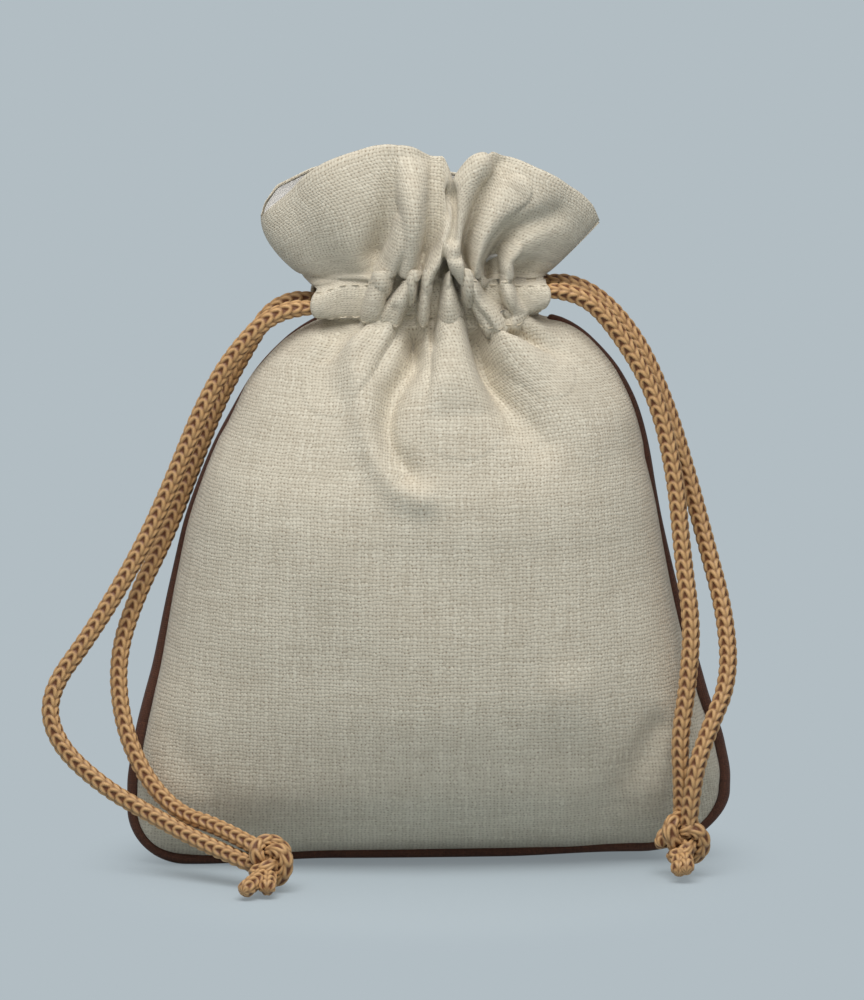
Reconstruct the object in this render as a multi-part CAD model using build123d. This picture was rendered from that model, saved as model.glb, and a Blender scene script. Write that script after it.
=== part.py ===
from build123d import *
import math
import os
from collections import namedtuple

# A lined drawstring gift pouch, closed and standing on its base. Millimetres.
# Origin: middle of the base, on the surface that the pouch stands on. +Z up, the front faces -Y.
# Front and back are cut in one with their casings and frills; each of those is a solid of its own
# here, because each bends round its own opening.

# ---- Driving dimensions -------------------------------------------------------------------------

# Cloth
PANEL_CLOTH = 0.6  # outer linen
LINING_CLOTH = 0.45
CASING_CLOTH = 0.5
PLY_GAP = 0.35  # air between the outer cloth and its lining
HEM_SETBACK = 0.8  # the lining's top edge lies this far under the frill's

# Drawstrings
CORD_DIAMETER = 3.4
CORD_FIT = 0.3  # clearance round a drawstring in its casing
CORD_REACH = 0.8  # how far a drawstring's fixed run stands out of the tab before it hangs free
FIRST_RUN = 6.5  # a free strand leaves straight for this far

# Stuffed body
FRONT_DEPTH = 28.8  # how far the front stands out from its side seam where it is fullest
BACK_DEPTH = 36.6

# Neck, where the mouth is drawn shut
NECK_Z = 121.0  # mid-height of the casing
PASSAGE_HALF_WIDTH = 12.0  # outside of the gathered lining
PASSAGE_HALF_DEPTH = 3.3
TAB_HALF_LENGTH = 25.2  # each casing's end, from the middle
NECK_HALF_WIDTH = 24.2
RIM_TUCK = 1.2  # the casing's stitched edges lie this far inside its face
PASSAGE_END = 1.5  # the lining stays narrow for this far past the casing, above and below
FLARE_WIDTH = 3.5  # how much wider it is to each side where it starts to open out again
FLARE_DEPTH = 1.8

# Piping in the side and bottom seam
PIPING_DIAMETER = 2.4
FILLER_DIAMETER = 1.3
FILLER_FIT = 0.1
PIPING_GAP = 0.25  # between the piping and the cloth that it is sewn into
CORNER_RADIUS = 10.8  # of the piping's centreline at the bottom corners
CORNER_X = 63.9  # where the side and bottom runs of the piping would meet
SEAM_FRONT_Y = -10.5  # the bottom run lies this far forward

# Frill
FRILL_HEIGHT = 29.15  # above the casing
FAN_RADIUS = 45.8  # curve of the frill's top edge, which fans out from the neck

# Knots
KNOT_RING = 3.6
KNOT_CORE = 4.4
TAIL_LENGTH = 8.5

# ---- Sizes that follow --------------------------------------------------------------------------

CORD_RADIUS = CORD_DIAMETER / 2
CORD_Y = PASSAGE_HALF_DEPTH + CORD_FIT + CORD_RADIUS  # each run of a drawstring beside the lining
CORD_RISE = (CORD_DIAMETER + CORD_FIT) / 2  # the right drawstring lies this far above mid-height
CASING_HALF_DEPTH = CORD_Y + CORD_RADIUS + CORD_FIT + CASING_CLOTH
CASING_HALF_HEIGHT = CORD_DIAMETER + 1.5 * CORD_FIT + CASING_CLOTH
NECK_HALF_DEPTH = CASING_HALF_DEPTH - RIM_TUCK
NECK_BOTTOM = NECK_Z - CASING_HALF_HEIGHT
NECK_TOP = NECK_Z + CASING_HALF_HEIGHT
FRILL_TOP_Z = NECK_TOP + FRILL_HEIGHT
BEND_X = TAB_HALF_LENGTH - CORD_Y - CORD_RADIUS - CORD_FIT  # centre of a drawstring's far bend
EXIT_X = TAB_HALF_LENGTH + CORD_REACH
LINING_INSET = PANEL_CLOTH + PLY_GAP
PIPING_RADIUS = PIPING_DIAMETER / 2
SEAM_OFFSET = PIPING_RADIUS + PIPING_GAP  # from the piping's centreline to the cloth's edge

# ---- Outline of the stuffed body ----------------------------------------------------------------

# Level z, half width at the side seam, seam's y, depth in front of it, depth behind it, and how
# much of each face is one wide arc: 0 is a flat face with round ends, towards 1 a pointed lens.
Station = namedtuple("Station", "z half_width seam_y front back fullness")

LEAN = 2.85  # the side seam comes in by this much from the corner to the level of LEAN_Z
LEAN_Z = 25.0
corner_turn = math.pi / 2 + math.atan(LEAN / (LEAN_Z - PIPING_RADIUS))
corner_reach = CORNER_RADIUS * math.tan(corner_turn / 2)
CORNER_CENTRE_X = CORNER_X - corner_reach
CORNER_CENTRE_Z = PIPING_RADIUS + CORNER_RADIUS
CORNER_TOP_Z = CORNER_CENTRE_Z + 0.5


def corner_width(z):
    """Half width of the cloth at height z, a parallel curve inside the piping's corner arc."""
    radius = CORNER_RADIUS - SEAM_OFFSET
    return CORNER_CENTRE_X + math.sqrt(radius**2 - (CORNER_CENTRE_Z - z) ** 2)


def corner_level(share):
    """Height at a share of the way up to the centre of the bottom corners' arcs."""
    return share * CORNER_CENTRE_Z


def body_level(share):
    """Height at a share of the way from the bottom corners' tops to the neck."""
    return CORNER_TOP_Z + share * (NECK_BOTTOM - CORNER_TOP_Z)


def frill_level(share):
    """Height at a share of the way up the frill."""
    return NECK_TOP + share * FRILL_HEIGHT


def neck_station(z):
    """Outside of the gathered neck at height z."""
    return Station(z, NECK_HALF_WIDTH, 0.0, NECK_HALF_DEPTH, NECK_HALF_DEPTH, 0.0)


def body_station(z, half_width, seam_y, front, back, fullness=0.35):
    """Station of the stuffed body, with its depths as shares of the fullest ones."""
    return Station(z, half_width, seam_y, front * FRONT_DEPTH, back * BACK_DEPTH, fullness)


def corner_station(share, seam_y, front, back):
    """Station at a level of the rounded bottom corners."""
    z = corner_level(share)
    return body_station(z, corner_width(z), seam_y, front, back)


BODY = [
    body_station(0.0, 50.0, -7.0, 0.071, 0.738),
    body_station(1.9, 52.0, -7.2, 0.064, 0.806),
    corner_station(0.229, -8.7, 0.052, 0.872),
    corner_station(0.375, -9.2, 0.125, 0.918),
    corner_station(0.667, -9.2, 0.257, 0.962),
    body_station(CORNER_TOP_Z, corner_width(CORNER_TOP_Z), -9.2, 0.375, 1.0),
    body_station(LEAN_Z, CORNER_X - LEAN - SEAM_OFFSET, -6.4, 0.681, 0.975),
    body_station(body_level(0.264), 55.4, -3.4, 0.896, 0.913),
    body_station(body_level(0.418), 51.2, -1.2, 1.0, 0.852),
    body_station(body_level(0.571), 47.1, 0.0, 0.993, 0.781),
    body_station(body_level(0.706), 43.6, 0.0, 0.875, 0.689),
    body_station(body_level(0.802), 40.6, 0.0, 0.735, 0.578),
    body_station(body_level(0.883), 36.3, 0.0, 0.569, 0.448, 0.3),
    body_station(body_level(0.936), 31.7, 0.0, 0.431, 0.339, 0.25),
    body_station(body_level(0.97), 27.8, 0.0, 0.326, 0.257, 0.15),
    neck_station(NECK_BOTTOM),
]

FRILL = [
    neck_station(NECK_TOP),
    Station(frill_level(0.043), 27.0, 0.0, 7.0, 7.0, 0.1),
    Station(frill_level(0.16), 31.0, 0.0, 7.8, 7.8, 0.2),
    Station(frill_level(0.365), 35.6, 0.0, 9.0, 9.0, 0.35),
    Station(frill_level(0.674), 40.0, 0.0, 10.2, 10.2, 0.35),
    Station(frill_level(1.05), 45.0, 0.0, 11.4, 11.4, 0.35),
]


def between(stations, z):
    """The station at height z, in proportion between its neighbours in the list."""
    for low, high in zip(stations, stations[1:]):
        if low.z <= z <= high.z:
            share = (z - low.z) / (high.z - low.z)
            return Station(*(a + share * (b - a) for a, b in zip(low, high)))
    raise ValueError(f"no station at {z}")


def inside_base(z, tuck):
    """The lining near the base, where the panels turn under: it lies tuck further in than its own
    gap, and its seam as far back."""
    body = between(BODY, z)
    reach = LINING_INSET + tuck
    front = body.front + 0.4 * reach
    return Station(
        z, body.half_width - reach, body.seam_y + reach, front, body.back - 2 * reach, body.fullness
    )


def passage(z, wider=0.0, deeper=0.0, fullness=0.0):
    """The gathered lining's narrow section at height z, or one that has opened out from it."""
    depth = PASSAGE_HALF_DEPTH + deeper
    return Station(z, PASSAGE_HALF_WIDTH + wider, 0.0, depth, depth, fullness)


def inset_by(inset, stations):
    """Pairs of a station and how far inside it a cloth lies."""
    return [(station, inset) for station in stations]


# Outside of the lining, from the base, through the neck, to the frill.
LINING_BASE = [
    inside_base(LINING_INSET, 1.45),
    inside_base(corner_level(0.229), 1.65),
    inside_base(corner_level(0.375), 0.85),
]
LINING_NECK = [
    passage(body_level(0.936), 3.4 * FLARE_WIDTH, 3.4 * FLARE_DEPTH, 0.25),
    passage(body_level(0.973), FLARE_WIDTH, FLARE_DEPTH, 0.1),
    passage(NECK_BOTTOM - PASSAGE_END),
    passage(NECK_TOP + PASSAGE_END),
    passage(frill_level(0.1), FLARE_WIDTH, FLARE_DEPTH, 0.1),
    passage(frill_level(0.21), 4.4 * FLARE_WIDTH, 2.0 * FLARE_DEPTH, 0.2),
]
LINING = (
    inset_by(0.0, LINING_BASE)
    + inset_by(LINING_INSET, BODY[4:13])
    + inset_by(0.0, LINING_NECK)
    + inset_by(LINING_INSET, FRILL[3:])
)

# ---- Section curves and shells ------------------------------------------------------------------


def face_edges(station, side, inset):
    """One face of a section, from its left seam point to its right one: a corner arc, a wide arc
    and a corner arc that meet tangent. side is -1 for the front and 1 for the back."""
    depth = station.front if side < 0 else station.back
    rise = station.fullness * depth / station.half_width
    corner = (1 - station.fullness) * depth / (1 - rise)
    turn = 2 * math.atan(rise)
    centre_x = station.half_width - corner
    corner -= inset

    def corner_point(hand, angle):
        return Vector(
            hand * (centre_x + corner * math.cos(angle)),
            station.seam_y + side * corner * math.sin(angle),
            station.z,
        )

    join = math.pi / 2 - turn
    left = [corner_point(-1, angle) for angle in (0, join / 2, join)]
    right = [corner_point(1, angle) for angle in (join, join / 2, 0)]
    crown = Vector(0, station.seam_y + side * (depth - inset), station.z)
    wide = ThreePointArc(left[2], crown, right[0]) if rise > 0 else Line(left[2], right[0])
    return [ThreePointArc(*left), wide, ThreePointArc(*right)]


def half_section(station, side, inset):
    """Closed face of one side of a section, up to the straight line between its seam points."""
    edges = face_edges(station, side, inset)
    return Face(Wire(edges + [Line(edges[-1] @ 1, edges[0] @ 0)]))


def cloth_section(station, side, inset, cloth):
    """Closed wire round the cloth of one side of a section: its outer line, its inner line and its
    two cut edges at the seam."""
    outer = face_edges(station, side, inset)
    inner = face_edges(station, side, inset + cloth)
    right = Line(outer[-1] @ 1, inner[-1] @ 1)
    left = Line(inner[0] @ 0, outer[0] @ 0)
    return Wire(outer + [right] + inner[::-1] + [left])


def shell_half(levels, side, cloth):
    """Cloth of one side: a ruled loft through its sections. levels list (station, inset)."""
    sections = [cloth_section(station, side, inset, cloth) for station, inset in levels]
    return Solid.make_loft(sections, ruled=True)


def plate(station, side, inset, thickness):
    """Flat cloth across one side of a section, upwards from it, or downwards if it is negative."""
    face = half_section(station, side, inset)
    return Solid.extrude(face, Vector(0, 0, thickness))


def passage_cut():
    """What the lining passes through in the closed ends of the body and the frill."""
    low = NECK_BOTTOM - 2 * PANEL_CLOTH
    width = 2 * (PASSAGE_HALF_WIDTH + PLY_GAP)
    depth = 2 * (PASSAGE_HALF_DEPTH + PLY_GAP)
    slot = Plane.XY * SlotOverall(width, depth)
    return Pos(0, 0, low) * extrude(slot, NECK_TOP + 2 * PANEL_CLOTH - low)


def fan(top_z):
    """Everything under the fanned top edge of the frill."""
    disc = Plane.XZ * Pos(0, top_z - FAN_RADIUS) * Cylinder(FAN_RADIUS, 4 * FAN_RADIUS)
    block = Box(4 * FAN_RADIUS, 4 * FAN_RADIUS, top_z - FAN_RADIUS)
    return disc + Pos(0, 0, (top_z - FAN_RADIUS) / 2) * block


def panel(side):
    """Outer cloth of the body, closed round the passage at the neck and turned under as the base."""
    wall = shell_half(inset_by(0.0, BODY), side, PANEL_CLOTH)
    base = plate(BODY[0], side, PANEL_CLOTH / 2, PANEL_CLOTH)
    neck = plate(BODY[-1], side, PANEL_CLOTH / 2, -PANEL_CLOTH)
    return wall + base + neck - passage_cut()


def frill(side):
    """Outer cloth of the frill above the casing."""
    wall = shell_half(inset_by(0.0, FRILL), side, PANEL_CLOTH) & fan(FRILL_TOP_Z)
    neck = plate(FRILL[0], side, PANEL_CLOTH / 2, PANEL_CLOTH)
    return wall + neck - passage_cut()


def lining(side):
    """White lining from the base, through the neck, to just under the frill's top edge."""
    wall = shell_half(LINING, side, LINING_CLOTH) & fan(FRILL_TOP_Z - HEM_SETBACK)
    return wall + plate(LINING_BASE[0], side, LINING_CLOTH / 2, LINING_CLOTH)


def casing(side):
    """Band that holds both drawstrings against the lining, stitched along its tucked-in edges.
    Its ends stand out past the neck as tabs, open for the drawstrings."""

    def profile(inset):
        face = CASING_HALF_DEPTH - inset
        rim = NECK_HALF_DEPTH - inset
        shoulder = CASING_HALF_HEIGHT - RIM_TUCK - inset * math.tan(math.pi / 8)
        return [
            (rim, -CASING_HALF_HEIGHT),
            (face, -shoulder),
            (face, shoulder),
            (rim, CASING_HALF_HEIGHT),
        ]

    outline = profile(0.0) + profile(CASING_CLOTH)[::-1]
    points = [(-TAB_HALF_LENGTH, side * y, NECK_Z + z) for y, z in outline]
    face = Face(Wire.make_polygon([Vector(*p) for p in points], close=True))
    return Solid.extrude(face, Vector(2 * TAB_HALF_LENGTH, 0, 0))


# ---- Piping -------------------------------------------------------------------------------------


def piping_route():
    """Centreline of the piping: down one side seam, along the front of the base and up again."""
    side = []
    for below, here, above in zip(BODY[5:], BODY[6:], BODY[7:]):
        slope = (above.half_width - below.half_width) / (above.z - below.z)
        offset = SEAM_OFFSET * math.sqrt(1 + slope**2)
        side.append((here.half_width + offset, here.seam_y, here.z))
    corner = (CORNER_X, SEAM_FRONT_Y, PIPING_RADIUS)
    right = [corner] + side
    left = [(-x, y, z) for x, y, z in reversed(right)]
    return left + right


def smooth_path(points, least=None):
    """Straight runs joined by tangent arcs as large as the shorter run at each point allows."""
    corners = [Vector(*p) for p in points]
    radii = []
    for before, here, after in zip(corners, corners[1:], corners[2:]):
        turn = math.radians((here - before).get_angle(after - here))
        shorter = min((here - before).length, (after - here).length)
        radii.append(0.45 * shorter / math.tan(turn / 2))
    if least:
        radii = [least if abs(p.Z - PIPING_RADIUS) < 0.01 else r for p, r in zip(corners[1:], radii)]
    return FilletPolyline(*corners, radius=radii), radii


def tube(path, diameter):
    """Round tube along a path."""
    profile = Plane(origin=path @ 0, z_dir=path % 0) * Circle(diameter / 2)
    return sweep(profile, path=path)


# ---- Drawstrings --------------------------------------------------------------------------------

# Routes of the free strands, from beyond their first straight run down to the knot. The front
# strand leaves the front casing.
ROUTES = {
    "left_front_strand": [
        (-42.0, -5.0, 109.0),
        (-48.5, -5.5, 97.5),
        (-55.0, -6.5, 81.0),
        (-61.8, -8.5, 66.5),
        (-71.5, -11.0, 50.5),
        (-81.3, -13.5, 37.5),
        (-79.5, -16.5, 27.5),
        (-69.5, -20.5, 18.8),
        (-58.5, -24.5, 13.2),
        (-49.0, -29.5, 8.8),
        (-38.2, -36.2, 5.4),
    ],
    "left_back_strand": [
        (-39.2, 4.6, 108.4),
        (-45.0, 4.2, 97.5),
        (-50.6, 2.8, 83.0),
        (-56.2, 0.0, 68.5),
        (-62.0, -3.5, 57.5),
        (-66.5, -7.5, 44.5),
        (-65.5, -12.0, 31.0),
        (-60.5, -17.5, 20.0),
        (-53.0, -23.0, 13.2),
        (-44.8, -29.0, 12.0),
        (-37.4, -35.0, 9.0),
    ],
    "right_front_strand": [
        (41.5, -5.0, 112.0),
        (48.5, -6.0, 99.0),
        (52.2, -8.0, 82.0),
        (53.6, -11.0, 66.0),
        (55.6, -15.5, 52.5),
        (54.6, -18.5, 40.0),
        (52.8, -20.5, 29.0),
        (53.4, -21.2, 20.0),
        (53.4, -20.8, 11.0),
    ],
    "right_back_strand": [
        (43.2, 4.4, 112.3),
        (49.8, 3.2, 98.0),
        (54.6, 0.8, 82.5),
        (58.6, -3.6, 68.0),
        (62.6, -10.0, 54.0),
        (63.6, -15.5, 41.0),
        (58.8, -21.0, 30.5),
        (55.6, -25.0, 21.5),
        (54.8, -24.4, 10.3),
    ],
}

# Middle of each knot, and where its two tails point.
KNOTS = {
    "left": ((-34.4, -38.0, 5.3), [(-0.42, -0.9, -0.32), (0.05, -0.95, -0.28)]),
    "right": ((53.6, -22.6, 6.45), [(-0.18, -0.85, -0.42), (0.3, -0.9, -0.3)]),
}


def cord_loop(hand):
    """A drawstring inside both casings: in along the front, round the far bend, back along the
    back. hand is -1 for the drawstring that leaves on the left."""
    z = NECK_Z + hand * CORD_RISE
    start = Vector(hand * EXIT_X, -CORD_Y, z)
    bend_in = Vector(-hand * BEND_X, -CORD_Y, z)
    bend_out = Vector(-hand * BEND_X, CORD_Y, z)
    end = Vector(hand * EXIT_X, CORD_Y, z)
    far = Vector(-hand * (BEND_X + CORD_Y), 0, z)
    path = Wire([Line(start, bend_in), ThreePointArc(bend_in, far, bend_out), Line(bend_out, end)])
    return tube(path, CORD_DIAMETER)


def strand(name):
    """A free strand, from the tab's mouth down to its knot."""
    hand = -1 if name.startswith("left") else 1
    y = -CORD_Y if "front" in name else CORD_Y
    z = NECK_Z + hand * CORD_RISE
    route = [(hand * EXIT_X, y, z), (hand * (EXIT_X + FIRST_RUN), y, z)] + ROUTES[name]
    path, radii = smooth_path(route)
    solid = tube(path, CORD_DIAMETER)
    expected = math.pi * CORD_RADIUS**2 * path.length
    print(name, "length", round(path.length, 1), "radii", [round(r, 1) for r in radii])
    print("  volume over section times length", round(solid.volume / expected, 4))
    return solid


def knot(centre, tails):
    """Overhand knot seen whole: a round core under two crossed turns of cord, with two tails."""
    core = Sphere(KNOT_CORE)
    upper = Pos(0, 0, 1.7) * Rot(24, 10, 0) * Torus(KNOT_RING, CORD_RADIUS)
    lower = Pos(0, 0, -1.9) * Rot(-22, -16, 0) * Torus(KNOT_RING, CORD_RADIUS)
    body = Pos(*centre) * (core + upper + lower)
    for tail in tails:
        direction = Vector(*tail).normalized()
        root = Vector(*centre) + direction * (KNOT_CORE - CORD_RADIUS)
        end = root + direction * TAIL_LENGTH
        root = Vector(root.X, root.Y, max(root.Z, CORD_RADIUS))
        end = Vector(end.X, end.Y, max(end.Z, CORD_RADIUS))
        run = Line(root, end)
        body += tube(run, CORD_DIAMETER)
    return body


# ---- Build and export ---------------------------------------------------------------------------


def build():
    """Every node's solid, by name."""
    parts = {}
    for name, side in (("front", -1), ("back", 1)):
        parts[f"{name}_panel"] = panel(side)
        parts[f"{name}_casing"] = casing(side)
        parts[f"{name}_frill"] = frill(side)
        parts[f"{name}_lining"] = lining(side)

    route, _ = smooth_path(piping_route(), least=CORNER_RADIUS)
    cover = tube(route, PIPING_DIAMETER)
    parts["piping_cover"] = cover - tube(route, FILLER_DIAMETER + 2 * FILLER_FIT)
    parts["piping_filler"] = tube(route, FILLER_DIAMETER)

    for name, hand in (("left", -1), ("right", 1)):
        parts[f"{name}_cord_loop"] = cord_loop(hand)
        parts[f"{name}_front_strand"] = strand(f"{name}_front_strand")
        parts[f"{name}_back_strand"] = strand(f"{name}_back_strand")
        parts[f"{name}_knot"] = knot(*KNOTS[name])
    return parts


os.makedirs("parts", exist_ok=True)
for node, shape in build().items():
    export_step(shape, f"parts/{node}.step")
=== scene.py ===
import math

import bpy
import numpy as np
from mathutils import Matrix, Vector


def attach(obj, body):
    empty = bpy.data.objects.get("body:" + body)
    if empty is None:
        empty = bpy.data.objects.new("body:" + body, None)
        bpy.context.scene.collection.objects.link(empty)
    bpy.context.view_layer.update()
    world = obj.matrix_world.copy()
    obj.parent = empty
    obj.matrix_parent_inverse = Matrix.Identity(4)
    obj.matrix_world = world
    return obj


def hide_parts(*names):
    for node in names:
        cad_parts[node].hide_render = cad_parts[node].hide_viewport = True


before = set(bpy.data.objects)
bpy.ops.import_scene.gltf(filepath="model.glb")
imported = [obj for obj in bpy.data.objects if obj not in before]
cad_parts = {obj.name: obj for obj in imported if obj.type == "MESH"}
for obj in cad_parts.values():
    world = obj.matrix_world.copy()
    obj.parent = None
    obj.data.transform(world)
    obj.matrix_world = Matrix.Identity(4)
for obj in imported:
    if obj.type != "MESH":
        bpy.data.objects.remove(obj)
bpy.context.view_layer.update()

# A drawstring gift pouch of coarse linen: lined, piped, drawn shut by two knitted drawstrings.
# Metres. The frame's origin is the middle of the base; +Z is up and the front faces -Y.

MM = 0.001

# ---- Sizes ----

HAND = {"left": -1, "right": 1}  # which way along x each side lies
CORD_Y = 5.3 * MM  # each run of a drawstring in the casing lies this far from the middle
CORD_Z = {"left": 119.15 * MM, "right": 122.85 * MM}
EXIT_X = 26.0 * MM  # a free strand leaves its tab here
FIRST_RUN = 6.5 * MM  # and goes straight on for this far
JOIN_X = 22.0 * MM  # the run in the casing meets the free strand here, inside the tab
BEND_X = 16.9 * MM  # middle of a loop's far bend
SHOWN_RADIUS = 1.95 * MM  # of a drawstring's loose knitting, a little more than it measures when pressed
PRESSED_RADIUS = 1.6 * MM  # of the same cord inside the casing
NECK_Z = 121.0 * MM
NECK_BOTTOM = 116.65 * MM
NECK_TOP = 125.35 * MM
PASSAGE_HALF_DEPTH = 3.3 * MM
PIPING_RADIUS = 1.2 * MM
PIPING_CORE_RADIUS = 0.62 * MM
SIGHT = math.radians(11.0)  # the folds are laid out square to a line of sight this far above level

random = np.random.default_rng(7)

# ---- Lines and meshes from arrays ----


def ramp(value, start, end):
    """0 below start, 1 above end, with a smooth rise between."""
    share = np.clip((value - start) / (end - start), 0, 1)
    return share * share * (3 - 2 * share)


def lengths_along(points):
    """Distance from the first point to each one, along the line of points."""
    steps = np.linalg.norm(np.diff(points, axis=0), axis=-1)
    return np.concatenate([[0.0], np.cumsum(steps)])


def smooth_line(points, count):
    """Catmull-Rom curve through a few rows of numbers, as count rows evenly spaced by row."""
    p = np.array(points, float)
    p = np.concatenate([[2 * p[0] - p[1]], p, [2 * p[-1] - p[-2]]])
    t = np.linspace(0, len(points) - 1, count)
    i = np.minimum(t.astype(int), len(points) - 2)
    f = (t - i)[:, None]
    a, b, c, d = p[i], p[i + 1], p[i + 2], p[i + 3]
    return 0.5 * (2 * b + (c - a) * f + (2 * a - 5 * b + 4 * c - d) * f**2 + (3 * b - a - 3 * c + d) * f**3)


def through(z, known_z, known):
    """Smooth curve through known values, with no overshoot (a monotone cubic)."""
    h = np.diff(known_z)
    d = np.diff(known) / h
    m = np.empty(len(known))
    m[1:-1] = np.where(d[:-1] * d[1:] > 0, 2 * d[:-1] * d[1:] / (d[:-1] + d[1:] + 1e-12), 0.0)
    m[0], m[-1] = d[0], d[-1]
    i = np.clip(np.searchsorted(known_z, z, side="right") - 1, 0, len(h) - 1)
    t = (z - known_z[i]) / h[i]
    a = known[i] + h[i] * m[i] * t
    cube = t * t * (3 - 2 * t)
    return (
        known[i] * (1 - cube)
        + known[i + 1] * cube
        + h[i] * (m[i] * t * (1 - t) ** 2 - m[i + 1] * t * t * (1 - t))
    )


def mesh_piece(name, points, faces, uv=None, values=None):
    """A smooth mesh from an array of points and one of quads. uv has a pair for each point, and
    values one number for each, kept as the attribute "height"."""
    mesh = bpy.data.meshes.new(name)
    mesh.from_pydata(points.tolist(), [], faces.tolist())
    mesh.polygons.foreach_set("use_smooth", np.ones(len(mesh.polygons), bool))
    if uv is not None:
        layer = mesh.uv_layers.new(name="UVMap")
        loops = np.empty(len(mesh.loops), np.int32)
        mesh.loops.foreach_get("vertex_index", loops)
        layer.data.foreach_set("uv", uv[loops].astype(np.float32).ravel())
    if values is not None:
        attribute = mesh.attributes.new("height", "FLOAT", "POINT")
        attribute.data.foreach_set("value", values.astype(np.float32).ravel())
    mesh.update()
    piece = bpy.data.objects.new(name, mesh)
    bpy.context.scene.collection.objects.link(piece)
    return piece


def grid_faces(rows, columns, closed=False, flip=False):
    """Quads of a grid whose points run row by row. closed joins the last column to the first."""
    index = np.arange(rows * columns).reshape(rows, columns)
    if closed:
        index = np.concatenate([index, index[:, :1]], axis=1)
    quads = np.stack([index[:-1, :-1], index[:-1, 1:], index[1:, 1:], index[1:, :-1]], axis=-1)
    quads = quads.reshape(-1, 4)
    return quads[:, ::-1] if flip else quads


def normals_of(grid):
    """Unit normals of a grid of points: along its rows crossed with up its columns."""
    across = np.gradient(grid, axis=1)
    up = np.gradient(grid, axis=0)
    normal = np.cross(across, up)
    return normal / np.maximum(np.linalg.norm(normal, axis=2, keepdims=True), 1e-12)


# ---- Shaders ----


def node(tree, kind, values=None, **settings):
    """A shader node with its settings, and values or links for its inputs by name or number."""
    made = tree.nodes.new(kind)
    for key, value in settings.items():
        setattr(made, key, value)
    for key, value in (values or {}).items():
        if isinstance(value, bpy.types.NodeSocket):
            tree.links.new(value, made.inputs[key])
        else:
            made.inputs[key].default_value = value
    return made


def calc(tree, operation, *values):
    """Output of a Math node."""
    return node(tree, "ShaderNodeMath", dict(enumerate(values)), operation=operation).outputs[0]


def blend(tree, share, first, second):
    """Colour output of a Mix node."""
    return node(tree, "ShaderNodeMix", {0: share, 6: first, 7: second}, data_type="RGBA").outputs[2]


def noise(tree, place, scale, detail):
    """Outputs of a Noise node: the first is a number, and "Color" three of them."""
    return node(tree, "ShaderNodeTexNoise", {"Vector": place, "Scale": scale, "Detail": detail}).outputs


def vector(tree, operation, values):
    """Vector output of a Vector Math node."""
    return node(tree, "ShaderNodeVectorMath", values, operation=operation).outputs[0]


def group(name, inputs, outputs):
    """An empty shader group with its sockets, and its input and output nodes."""
    tree = bpy.data.node_groups.new(name, "ShaderNodeTree")
    for key, value in inputs.items():
        kind = "NodeSocketVector" if isinstance(value, tuple) else "NodeSocketFloat"
        socket = tree.interface.new_socket(key, in_out="INPUT", socket_type=kind)
        if kind == "NodeSocketFloat":
            socket.default_value = value
    for key in outputs:
        tree.interface.new_socket(key, in_out="OUTPUT", socket_type="NodeSocketFloat")
    return tree, tree.nodes.new("NodeGroupInput").outputs, tree.nodes.new("NodeGroupOutput").inputs


THREAD_APART = 7.31  # neighbouring threads read their noise this far from each other
THREAD_CHANGE = 0.07  # how far along the noise each crossing is from the last
WEFT_SLIDE = 40.0  # keeps the weft's noise away from the warp's


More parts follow.
